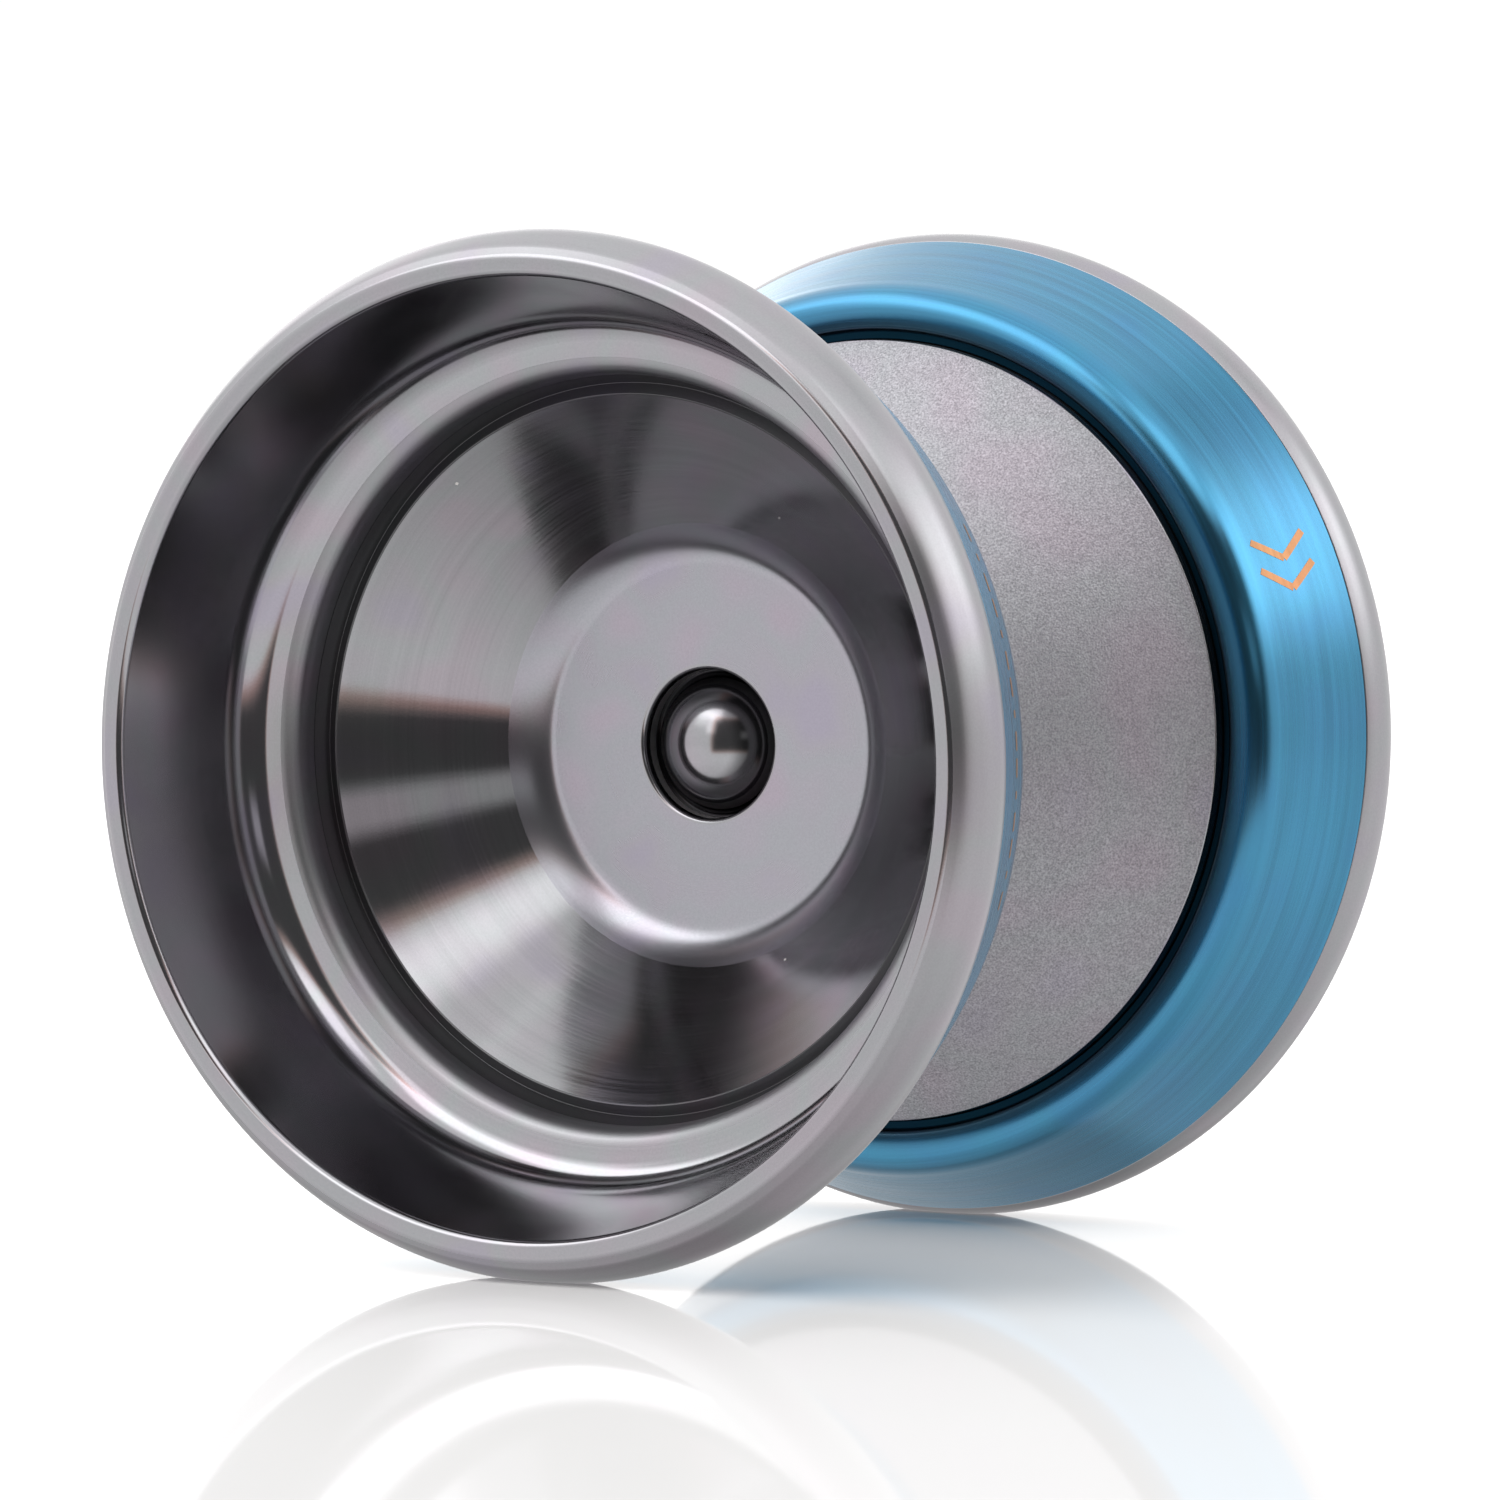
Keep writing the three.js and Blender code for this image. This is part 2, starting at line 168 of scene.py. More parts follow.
def lathe(name, points, closed, sides, finishes, centre=(0, 0), gap=0.0):
    """Turns a section about the axle, or about `centre` (x, z), leaving a gap of so many degrees at +X.

    finishes maps each finish's name to its material.
    """
    order = list(finishes)
    bm = bmesh.new()
    rings, normals = [], []
    open_by = math.radians(gap)
    first = math.pi / 2 + open_by / 2
    steps = sides if not gap else sides + 1
    turns = [first + (TAU - open_by) * k / sides for k in range(steps)]
    cx, cz = centre
    for point, normal, _ in points:
        around = [0.0] if point.x < 1e-6 else turns
        rings.append([bm.verts.new(((cx + point.x * math.sin(a)) * MM, point.y * MM,
                                    (cz + point.x * math.cos(a)) * MM)) for a in around])
        normals += [(normal.x * math.sin(a), normal.y, normal.x * math.cos(a)) for a in around]
    count = len(points)
    for i in range(count if closed else count - 1):
        for face in band(bm, rings[i], rings[(i + 1) % count], sides):
            face.material_index = order.index(points[i][2])
    if gap:
        bm.faces.new([ring[0] for ring in rings])
        bm.faces.new([ring[-1] for ring in reversed(rings)])
    return mesh_from(name, bm, None if gap else normals, finishes.values())


# ---------------------------------------------------------------- the halves

LIP_Y = 24.25
SEAM_R, SEAM_Y = 27.67, 20.14
HUB_Y, WELL_R, WELL_FLOOR_Y = 4.8, 4.1, 3.3
DOME_BASE_R, DOME_HEIGHT = 3.9, 2.7
NOSE_R, NOSE_Y = 24.75, 12.97  # where the ring's face and cone would meet
RING_TOP_Y = 20.09  # the ring's edge at the seam with the rim


def bore_and_gap_side():
    return [
        corner(0, 5.25, finish="bore"), corner(1.5, 5.25), corner(2.1, 4.65), corner(2.1, 0.55),
        corner(2.45, 0.2), corner(2.85, 0.2, finish="turned"), corner(3.15, 0.5, 0.2),
        corner(3.15, 2.4), corner(3.95, 2.4), corner(3.95, 2.7), corner(6.7, 2.7), corner(6.7, 2.2),
        corner(7.05, 2.2), corner(7.05, 3.25), corner(9.6, 3.25), corner(9.6, 2.2),
        corner(9.8, 2.2, 0.1, 0.3, finish="blasted"),
    ]


def ring_seat():
    return [
        corner(22.1, 12.89, 0.08, finish="turned"), corner(22.1, 14), corner(25.4, 17.2),
        corner(25.4, SEAM_Y),
    ]


def rim():
    """The satin outer curve, its shoulder and the narrow polished lip."""
    return [
        corner(SEAM_R, SEAM_Y, 0.05, 0.06, finish="rim"), corner(28.5, 21.43, 1.46, 1.6),
        corner(27.35, 23.68, 0.8, 0.3), corner(26.64, LIP_Y, 0.2, 0.2, finish="lip"),
        corner(25.72, LIP_Y, 0.3, 0.45),
    ]


def cup():
    return [
        corner(23.26, 15.57, 1.8, 1.2, finish="cup"), corner(20.42, 14.95, 0.9, 1.1, finish="step"),
        corner(20.33, 13.25, 0.05, finish="groove"), corner(19.9, 12.35, 0.04),
        corner(19.3, 12.72, 0.025, 0.05), corner(19.22, 12.646, 0.01, finish="cone"),
        corner(12.15, 6.15, 0.02, finish="foot"), corner(10.7, HUB_Y, 1.7, 0.8),
        corner(9.8, HUB_Y, finish="hub"),
        corner(WELL_R + 0.02, HUB_Y, 0.3, 0.35, finish="edge"), corner(WELL_R, 4.2, 0.02, finish="well"),
        corner(WELL_R, WELL_FLOOR_Y, 0.3, 0.1, finish="dome"),
    ]


def dome():
    """The dome that all but fills the well: an arc from the foot of the well's wall to the axis."""
    radius = (DOME_BASE_R ** 2 + DOME_HEIGHT ** 2) / (2 * DOME_HEIGHT)
    centre_y = WELL_FLOOR_Y + DOME_HEIGHT - radius
    foot = math.degrees(math.asin((WELL_FLOOR_Y - centre_y) / radius))
    turns = [math.radians(foot + (90 - foot) * k / 12) for k in range(12)]
    return [corner(radius * math.cos(a), centre_y + radius * math.sin(a), 0.3) for a in turns] + [
        corner(0, WELL_FLOOR_Y + DOME_HEIGHT)]


def half_section():
    return outline([*bore_and_gap_side(), *ring_seat(), *rim(), *cup(), *dome()], closed=False)


def ring_section():
    return outline([
        corner(22.6, NOSE_Y, 0.6, 0.95, finish="nose"), corner(NOSE_R, NOSE_Y, 1.15, 1.5),
        corner(25.45, 14.678, 0.02, finish="brushed"), corner(SEAM_R, RING_TOP_Y, 0.05),
        corner(25.45, RING_TOP_Y, finish="seat"), corner(25.45, 17.15),
        corner(22.15, 13.95), corner(22.15, 13.65), corner(22.6, 13.65),
    ], closed=True)


def pad_section():
    return outline([
        corner(7.15, 2.15, 0.2, finish="silicone"), corner(9.5, 2.15, 0.2), corner(9.5, 3.15),
        corner(7.15, 3.15),
    ], closed=True)


# ---------------------------------------------------------------- finishes

class Nodes:
    """A node tree, built one node at a time: add() returns the new node's output."""

    def __init__(self, tree):
        self.tree = tree

    def wire(self, node, sockets):
        for name, value in sockets.items():
            if isinstance(value, bpy.types.NodeSocket):
                self.tree.links.new(value, node.inputs[name])
            else:
                node.inputs[name].default_value = value

    def add(self, kind, sockets, output=0, **settings):
        node = self.tree.nodes.new(kind)
        for name, value in settings.items():
            setattr(node, name, value)
        self.wire(node, sockets)
        return node.outputs[output]

    def math(self, operation, a, b=0.0):
        return self.add("ShaderNodeMath", {0: a, 1: b}, operation=operation)

    def span(self, value, low, high, start=0.0, stop=1.0, smooth=False):
        """start..stop as value goes low..high, and held there past either end."""
        kind = "SMOOTHSTEP" if smooth else "LINEAR"
        return self.add("ShaderNodeMapRange", {"Value": value, "From Min": low, "From Max": high,
                                               "To Min": start, "To Max": stop}, interpolation_type=kind)

    def mix(self, factor, a, b, blend="MIX"):
        return self.add("ShaderNodeMix", {0: factor, 6: a, 7: b}, output=2, data_type="RGBA",
                        blend_type=blend)

    def ramp(self, value, colours):
        node = self.tree.nodes.new("ShaderNodeValToRGB")
        self.tree.links.new(value, node.inputs[0])
        stops = node.color_ramp.elements
        while len(stops) < len(colours):
            stops.new(0.5)
        for i, colour in enumerate(colours):
            stops[i].position = 0.3 + 0.4 * i / (len(colours) - 1)
            stops[i].color = (*colour, 1)
        return node.outputs[0]

    def place(self):
        """Where a point is on the piece, in millimetres."""
        where = self.add("ShaderNodeTexCoord", {}, output="Object")
        return self.add("ShaderNodeVectorMath", {0: where, "Scale": 1000.0}, operation="SCALE")

    def cloud(self, place, per_mm, detail=2.0):
        return self.add("ShaderNodeTexNoise", {"Vector": place, "Scale": per_mm, "Detail": detail})

    def turned(self, place):
        """A place's x, y and z, and its distance from the axle."""
        split = self.tree.nodes.new("ShaderNodeSeparateXYZ")
        self.tree.links.new(place, split.inputs[0])
        x, y, z = split.outputs
        squares = self.math("ADD", self.math("MULTIPLY", x, x), self.math("MULTIPLY", z, z))
        return x, y, z, self.math("SQRT", squares)

    def lines(self, place, per_mm, around, detail=2.0):
        """Noise drawn out round the axle: `per_mm` across the section, `around` features round the turn."""
        x, y, z, radius = self.turned(place)
        safe = self.math("MAXIMUM", radius, 0.01)
        across = self.math("MULTIPLY", radius, per_mm)
        along = self.math("MULTIPLY", self.math("ABSOLUTE", y), per_mm)
        cosine = self.math("MULTIPLY", self.math("DIVIDE", z, safe), around)
        sine = self.math("MULTIPLY", self.math("DIVIDE", x, safe), around)
        vector = self.add("ShaderNodeCombineXYZ", {0: across, 1: along, 2: cosine})
        return self.add("ShaderNodeTexNoise", {"Vector": vector, "W": sine, "Scale": 1.0, "Detail": detail},
                        noise_dimensions="4D")

    def bump(self, height, microns, normal=None):
        sockets = {"Height": height, "Strength": 1.0, "Distance": microns * 1e-6}
        if normal is not None:
            sockets["Normal"] = normal
        return self.add("ShaderNodeBump", sockets)


def material_nodes(name, sockets):
    material = bpy.data.materials.new(name)
    material.use_nodes = True
    nodes = Nodes(material.node_tree)
    shader = material.node_tree.nodes["Principled BSDF"]
    nodes.wire(shader, sockets)
    return material, nodes, shader


PATCHES_PER_MM = 0.2  # of the faint colours of a metal's film
DUST_PER_MM = 0.16  # the cells that a speck of dust may lie in


def metal(name, tints, roughness, stretch=0.0, lines=4.0, depth=2.0, around=3.0, streak=0.06,
          grain=9.0, relief=0.6, speckle=0.03, dust=0.0, fixed=None, painted_shade=None):
    """Metal worked round the axle.

    tints are the colours that drift over it in patches, and stretch is how far the work draws its gloss out.
    lines per mm, depth um deep, are its turning or brushing, and grain per mm, relief um deep, is what lies
    between them; streak and speckle are how much each shades it. dust sets the size of its few dust specks,
    and fixed the sockets that hold one value. The last argument, (from radius, to radius, from tone, to
    tone), is painted shade: a darkening painted into a recess by its radius.
    """
    sockets = {"Metallic": 1.0, **(fixed or {})}
    if stretch:
        sockets |= {"Anisotropic": stretch, "Anisotropic Rotation": 0.25}
    material, n, shader = material_nodes(name, sockets)
    place = n.place()
    drift = n.cloud(place, PATCHES_PER_MM, 1.0)
    fine = n.cloud(place, grain, 3.0)
    cut = n.lines(place, lines, around, 3.0)
    broad = n.lines(place, lines * 0.22, around * 0.5, 1.0)
    colour = n.ramp(drift, tints)
    shade = n.math("ADD", n.span(cut, 0.3, 0.7, 1 - streak, 1 + streak),
                   n.span(fine, 0.3, 0.7, -speckle, speckle))
    shade = n.math("ADD", shade, n.span(broad, 0.3, 0.7, -streak, streak))
    grey = n.add("ShaderNodeCombineColor", {0: shade, 1: shade, 2: shade})
    colour = n.mix(1.0, colour, grey, "MULTIPLY")
    # Painted shade: the colour is darkened by radius towards a recess.
    if painted_shade:
        tone = n.span(n.turned(place)[3], *painted_shade, smooth=True)
        colour = n.mix(1.0, colour, n.add("ShaderNodeCombineColor", {0: tone, 1: tone, 2: tone}), "MULTIPLY")
    swing = min(0.2, streak * 6)
    rough = n.math("ADD", n.span(cut, 0.3, 0.7, roughness * (1 - swing), roughness * (1 + swing)),
                   n.span(drift, 0.3, 0.7, -0.02, 0.03))
    if dust:
        cell = n.add("ShaderNodeTexVoronoi", {"Vector": place, "Scale": DUST_PER_MM, "Randomness": 1.0})
        speck = n.span(cell, 0.012 * dust, 0.016 * dust, 1.0, 0.0)
        colour = n.mix(speck, colour, (0.9, 0.88, 0.86, 1))
        rough = n.math("ADD", rough, n.math("MULTIPLY", speck, 0.5))
    normal = n.bump(cut, depth, n.bump(fine, relief))
    n.wire(shader, {"Base Color": colour, "Roughness": rough, "Normal": normal})
    if stretch:
        n.wire(shader, {"Tangent": n.add("ShaderNodeTangent", {}, direction_type="RADIAL", axis="Y")})
    return material


def tints_of(base, spread):
    """The faint pink, green and lavender of an anodised film, round one base colour."""
    casts = ((1.05, 0.96, 1.0), (1.0, 1.0, 1.0), (0.96, 1.03, 0.99), (1.0, 1.0, 1.0), (0.99, 0.96, 1.05))
    return [tuple(b * (1 + (c - 1) * spread) for b, c in zip(base, cast)) for cast in casts]


def blasted(name, base):
    """Bead-blasted metal: a close field of tiny dents that sparkle."""
    material, n, shader = material_nodes(name, {"Metallic": 1.0})
    place = n.place()
    dents = n.add("ShaderNodeTexVoronoi", {"Vector": place, "Scale": 8.0, "Randomness": 1.0})
    grit = n.cloud(place, 9.0, 3.0)
    soft = n.cloud(place, 1.3, 2.0)
    colour = n.ramp(n.cloud(place, 0.15, 1.0), tints_of(base, 0.5))
    shade = n.math("ADD", n.span(grit, 0.3, 0.7, 0.76, 1.24), n.span(soft, 0.3, 0.7, -0.04, 0.04))
    grey = n.add("ShaderNodeCombineColor", {0: shade, 1: shade, 2: shade})
    rough = n.span(grit, 0.3, 0.7, 0.68, 0.56)
    normal = n.bump(grit, 9, n.bump(dents, 13))
    colour = n.mix(1.0, colour, grey, "MULTIPLY")
    n.wire(shader, {"Base Color": colour, "Roughness": rough, "Normal": normal})
    return material


def moulded(name, low, high, roughness, sockets):
    """A soft moulded piece: a fine orange peel and slightly uneven colour."""
    material, n, shader = material_nodes(name, sockets)
    place = n.place()
    fine = n.cloud(place, 6.0, 3.0)
    colour = n.mix(n.span(n.cloud(place, 0.7, 3.0), 0.3, 0.7), (*low, 1), (*high, 1))
    rough = n.span(fine, 0.3, 0.7, roughness * 0.85, roughness * 1.15)
    normal = n.bump(fine, 12)
    n.wire(shader, {"Base Color": colour, "Roughness": rough, "Normal": normal})
    return material


# What each metal reflects square on; a few greys also hold painted shade or painted light, as marked.
GREY = (0.336, 0.326, 0.349)
HUB_GREY = (0.36, 0.344, 0.385)
# The anodised grey made darker for the cone inside the cup: painted shade of the cup's recess.
CONE_PAINTED_SHADE_GREY = (0.29, 0.282, 0.3)
BLASTED_GREY = (0.4, 0.389, 0.42)
# Painted shade: a near-black grey for the narrow groove, in place of the metal's own grey.
GROOVE_PAINTED_SHADE = (0.13, 0.127, 0.135)
# A far lighter grey than the metal's own, for the well's wall: painted light in the recess.
WELL_PAINTED_LIGHT_GREY = (0.7, 0.69, 0.71)
BLUE_BASE = (0.04, 0.208, 0.355)
STEEL = (0.46, 0.46, 0.47)
BALL_STEEL = (0.62, 0.62, 0.63)
AXLE_STEEL = (0.27, 0.27, 0.28)
COPPER_BASE = (0.42, 0.21, 0.105)

SATIN = {"grain": 9, "relief": 1.2, "speckle": 0.04}
CLOSE = {"lines": 7, "around": 0.6}
COATED = {"Coat Weight": 0.55, "Coat Roughness": 0.2, "Coat IOR": 1.5}

ALUMINIUM = {
    "bore": metal("bored_aluminium", tints_of(GREY, 1), 0.3, stretch=0.4),
    "turned": metal("faced_aluminium", tints_of(GREY, 1), 0.25, stretch=0.5, lines=6, depth=3),
    "blasted": blasted("blasted_aluminium", BLASTED_GREY),
    "rim": metal("satin_rim", tints_of(GREY, 0.6), 0.33, stretch=0.2, lines=8, depth=0.4, around=0.6,
                 streak=0.012, **SATIN),
    "lip": metal("polished_lip", tints_of(GREY, 0.6), 0.14, stretch=0.3, lines=9, depth=0.2, around=0.6,
                 streak=0.01),
    "cup": metal("polished_cup", tints_of(GREY, 0.9), 0.12, stretch=0.5, depth=0.3, streak=0.02, dust=1.0,
                 **CLOSE),
    # The cone's darker grey is painted shade.
    "cone": metal("turned_cone", tints_of(CONE_PAINTED_SHADE_GREY, 0.7), 0.1, stretch=0.65, lines=9, depth=0.7, around=0.5,
                  streak=0.045, dust=1.0),
    "step": metal("satin_step", tints_of(GREY, 0.9), 0.42, depth=0.3, streak=0.02, **CLOSE),
    # The groove's near-black colour is painted shade, not the metal's own.
    "groove": metal("groove_painted_shade", tints_of(GROOVE_PAINTED_SHADE, 0.7), 0.4, lines=8, depth=0.5, around=0.5,
                    streak=0.02),
    "foot": metal("cone_foot", tints_of(HUB_GREY, 0.8), 0.23, depth=0.05, streak=0.004, **CLOSE, **SATIN),
    "hub": metal("satin_hub", tints_of(HUB_GREY, 0.8), 0.26, depth=0.05, streak=0.004, dust=0.8,
                 **CLOSE, **SATIN),
    "edge": metal("well_edge", tints_of(GREY, 0.6), 0.15, depth=0.1, streak=0.01, **CLOSE),
    # The well wall's light grey is painted light.
    "well": metal("well_wall", tints_of(WELL_PAINTED_LIGHT_GREY, 0.6), 0.6, depth=0.4, streak=0.02, **CLOSE),
    # Painted shade: the dome's colour darkens towards its foot in the well.
    "dome": metal("polished_dome", tints_of(GREY, 0.6), 0.14, depth=0.12, streak=0.01,
                  painted_shade=(1.8, 2.7, 1.0, 0.26), **CLOSE),
}
BLUE = {
    # Painted shade: the ring's face darkens towards its inner edge by the seam.
    "nose": metal("blue_steel_nose", tints_of(BLUE_BASE, 0.6), 0.22, stretch=0.6, lines=9, depth=1.0,
                  around=1.2, streak=0.07, fixed=COATED, painted_shade=(22.5, 24.0, 0.17, 1.0)),
    "brushed": metal("blue_steel_brushed", tints_of(BLUE_BASE, 0.6), 0.27, stretch=0.78, lines=9, depth=2.4,
                     around=2.4, streak=0.11, fixed=COATED),
    # Painted shade: the ring's seat darkens towards its inner edge.
    "seat": metal("blue_steel_seat", tints_of(BLUE_BASE, 0.6), 0.45, lines=5, depth=2,
                  painted_shade=(22.7, 25.0, 0.12, 1.0)),
}
RUBBER = {"silicone": moulded("matte_silicone", (0.78, 0.76, 0.72), (0.88, 0.87, 0.83), 0.6,
                              {"Subsurface Weight": 0.2, "Subsurface Scale": 0.001, "IOR": 1.42})}
NYLON = {"nylon": moulded("natural_nylon", (0.72, 0.66, 0.52), (0.84, 0.79, 0.67), 0.45,
                          {"Subsurface Weight": 0.15, "Subsurface Scale": 0.0008, "IOR": 1.53})}
GROUND = {"ground": metal("ground_steel", tints_of(STEEL, 0.3), 0.16, stretch=0.5, lines=9, depth=0.9,
                          around=4.0, streak=0.05)}
PRESSED = {"pressed": metal("pressed_steel", tints_of(STEEL, 0.3), 0.24, stretch=0.3, lines=5, depth=0.8,
                            around=2.0, streak=0.04)}
BALL = {"ball": metal("lapped_steel", tints_of(BALL_STEEL, 0.3), 0.07, lines=5, depth=0.1, streak=0.02)}
AXLE = {"axle": metal("rolled_steel", tints_of(AXLE_STEEL, 0.5), 0.32, lines=5, depth=1.5, streak=0.08)}
COPPER = {"mark": metal("bare_copper_mark", tints_of(COPPER_BASE, 0.5), 0.42, lines=6, depth=2.5,
                        streak=0.1)}


# ---------------------------------------------------------------- placing

def orient(points, closed, side):
    return mirrored(points, closed) if side == "left" else points


def place_piece(piece, body, nodes):
    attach(piece, body)
    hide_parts(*nodes)


# ---------------------------------------------------------------- the marks on the rings

MARK_RISE = 0.012  # mm that a mark stands on the ring's cone
MARK_R = 26.3  # mm, the cone's radius where the marks are
# How far up the cone, the rise and the width are in mm; the rest is in degrees round the ring.
CHEVRON = {"at": 4.0, "half_rise": 1.9, "width": 0.42, "half_turn": 1.4, "half_apart": 1.9}
DASH = {"at": 3.7, "width": 0.5, "pitch": 3.1, "half_long": 1.1, "half_short": 0.45}
DASHES = 15


def cone_point(s, angle, side):
    """A point on the ring's outer cone, s mm up it from its foot, at an angle from +X towards +Z."""
    foot, top = Vector((NOSE_R, NOSE_Y)), Vector((SEAM_R, RING_TOP_Y))
    run = (top - foot).normalized()
    out = outward(run)
    at = foot + run * s + out * MARK_RISE
    a = math.radians(90 - angle)
    y = at.y if side == "right" else -at.y
    return Vector((at.x * math.sin(a), y, at.x * math.cos(a))) * MM


def strip(bm, start, stop, width, side):
    """A straight stroke over the cone between two (s, angle) points; width in mm."""
    degrees = 360 / (TAU * MARK_R)  # to the millimetre round the cone
    ds, da = stop[0] - start[0], (stop[1] - start[1]) / degrees
    length = math.hypot(ds, da)
    ns, na = -da / length * width / 2, ds / length * width / 2 * degrees
    steps = max(2, math.ceil(abs(stop[1] - start[1]) / 0.6))
    rows = []
    for k in range(steps + 1):
        t = k / steps
        s, a = start[0] + (stop[0] - start[0]) * t, start[1] + (stop[1] - start[1]) * t
        rows.append([bm.verts.new(cone_point(s + ns * e, a + na * e, side)) for e in (-1, 1)])
    for low, high in zip(rows, rows[1:]):
        bm.faces.new((low[0], low[1], high[1], high[0]))


def build_marks(side, chevrons_at, dashes_at):
    """A pair of chevrons on one side of the ring, and a band of dashes on the other."""
    bm = bmesh.new()
    for shift in (-CHEVRON["half_apart"], CHEVRON["half_apart"]):
        centre = chevrons_at + shift
        for end in (-1, 1):
            tip = (CHEVRON["at"], centre - CHEVRON["half_turn"])
            tail = (CHEVRON["at"] + end * CHEVRON["half_rise"], centre + CHEVRON["half_turn"])
            strip(bm, tip, tail, CHEVRON["width"], side)
    for k in range(DASHES):
        half = DASH["half_short"] if k % 3 == 1 else DASH["half_long"]
        angle = dashes_at + (k - DASHES // 2) * DASH["pitch"]
        strip(bm, (DASH["at"], angle - half), (DASH["at"], angle + half), DASH["width"], side)
    bmesh.ops.recalc_face_normals(bm, faces=bm.faces)
    outwards = sum(f.normal.x * f.calc_center_median().x + f.normal.z * f.calc_center_median().z
                   for f in bm.faces)
    if outwards < 0:
        bmesh.ops.reverse_faces(bm, faces=bm.faces)
    marks = mesh_from(f"{side}_ring_marks", bm, None, COPPER.values())
    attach(marks, f"{side}_half")


# ---------------------------------------------------------------- the halves' pieces

def build_half(side):
    body = lathe(f"{side}_half_turned", orient(half_section(), False, side), False, SIDES, ALUMINIUM)
    ring = lathe(f"{side}_ring_turned", orient(ring_section(), True, side), True, SIDES, BLUE)
    pad = lathe(f"{side}_pad_moulded", orient(pad_section(), True, side), True, SMALL_SIDES, RUBBER)
    place_piece(body, f"{side}_half", [f"{side}_body"])
    place_piece(ring, f"{side}_half", [f"{side}_weight_ring"])
    place_piece(pad, f"{side}_half", [f"{side}_response_pad"])


# ---------------------------------------------------------------- the bearing

BALL_CIRCLE, BALL_R, BALLS = 4.7625, 0.785, 8
POCKET_R = 0.87  # of the cage's pockets
RACE_HALF, TRACK_R = 2.38, 0.83


def arc(centre_r, centre_y, radius, start, stop, steps, finish=None):
    """Corners along an arc of a section, by angle in degrees."""
    turn = [math.radians(start + (stop - start) * k / steps) for k in range(steps + 1)]
    return [corner(centre_r + radius * math.cos(a), centre_y + radius * math.sin(a), 0.2,
                   finish=finish if k == 0 else None) for k, a in enumerate(turn)]


def inner_race_section():
    return outline([
        corner(3.175, -RACE_HALF, 0.1, finish="ground"), corner(4.15, -RACE_HALF, 0.1),
        *arc(4.79, 0, TRACK_R, 219.5, 140.5, 10), corner(4.15, RACE_HALF, 0.1),
        corner(3.175, RACE_HALF, 0.1),
    ], closed=True)


def outer_race_section():
    upper = [corner(6.1, 0.85, 0.4), corner(6.35, 1.95, 0.3), corner(6.35, RACE_HALF, 0.15),
             corner(5.95, RACE_HALF), corner(5.95, 2.3, 0.03), corner(6.06, 2.3, 0.03),
             corner(6.06, 2.1, 0.03), corner(5.95, 2.1, 0.03), corner(5.95, 1.85, 0.04), corner(5.3, 1.85)]
    lower = [corner(c["at"].x, -c["at"].y, c["before"]) for c in reversed(upper)]
    lower[0]["finish"] = "ground"
    return outline([*lower, *upper, *arc(4.76, 0, TRACK_R, 49.4, -49.4, 12)], closed=True)


def shield_section():
    return outline([
        corner(4.4, 1.9, 0.04, finish="pressed"), corner(5.88, 1.9, 0.04), corner(5.88, 2.05, 0.04),
        corner(5.62, 2.05, 0.12), corner(5.5, 1.99, 0.12), corner(4.8, 1.99, 0.12),
        corner(4.68, 2.05, 0.12), corner(4.4, 2.05, 0.04),
    ], closed=True)


def snap_ring_section():
    return outline([
        corner(5.62, 2.13, 0.03, finish="pressed"), corner(6.0, 2.13, 0.03), corner(6.0, 2.27, 0.03),
        corner(5.62, 2.27, 0.03),
    ], closed=True)


def ball_section(radius, finish):
    arms = [(radius * math.cos(math.radians(a)), radius * math.sin(math.radians(a)))
            for a in range(-90, 91, 9)]
    return [(Vector((r if r > 1e-6 else 0.0, y)), Vector((r, y)) / radius, finish) for r, y in arms]


def ball_centre(number):
    a = TAU * (number - 1) / BALLS
    return BALL_CIRCLE * math.sin(a), BALL_CIRCLE * math.cos(a)


def build_cage():
    """The crown cage: a moulded ring whose pockets the balls snap into from one side."""
    section = outline([corner(4.38, -1.25, 0.12, finish="nylon"), corner(5.12, -1.25, 0.12),
                       corner(5.12, 0.5, 0.1), corner(4.38, 0.5, 0.1)], closed=True)
    ring = lathe("bearing_cage_moulded", section, True, SMALL_SIDES * 2, NYLON)
    cutters = []
    for number in range(1, BALLS + 1):
        cutter = lathe(f"pocket_{number}", ball_section(POCKET_R, "nylon"), False, 40, NYLON,
                       ball_centre(number))
        cut = ring.modifiers.new(f"pocket_{number}", "BOOLEAN")
        cut.operation, cut.solver, cut.object = "DIFFERENCE", "EXACT", cutter
        cutters.append(cutter)
    bpy.context.view_layer.update()
    shaped = bpy.data.meshes.new_from_object(ring.evaluated_get(bpy.context.evaluated_depsgraph_get()))
    ring.modifiers.clear()
    ring.data = shaped
    for cutter in cutters:
        bpy.data.objects.remove(cutter)
    if "custom_normal" in shaped.attributes:
        shaped.attributes.remove(shaped.attributes["custom_normal"])
    shaped.polygons.foreach_set("use_smooth", [True] * len(shaped.polygons))
    shaped.set_sharp_from_angle(angle=math.radians(35))
    place_piece(ring, "cage", ["bearing_cage"])


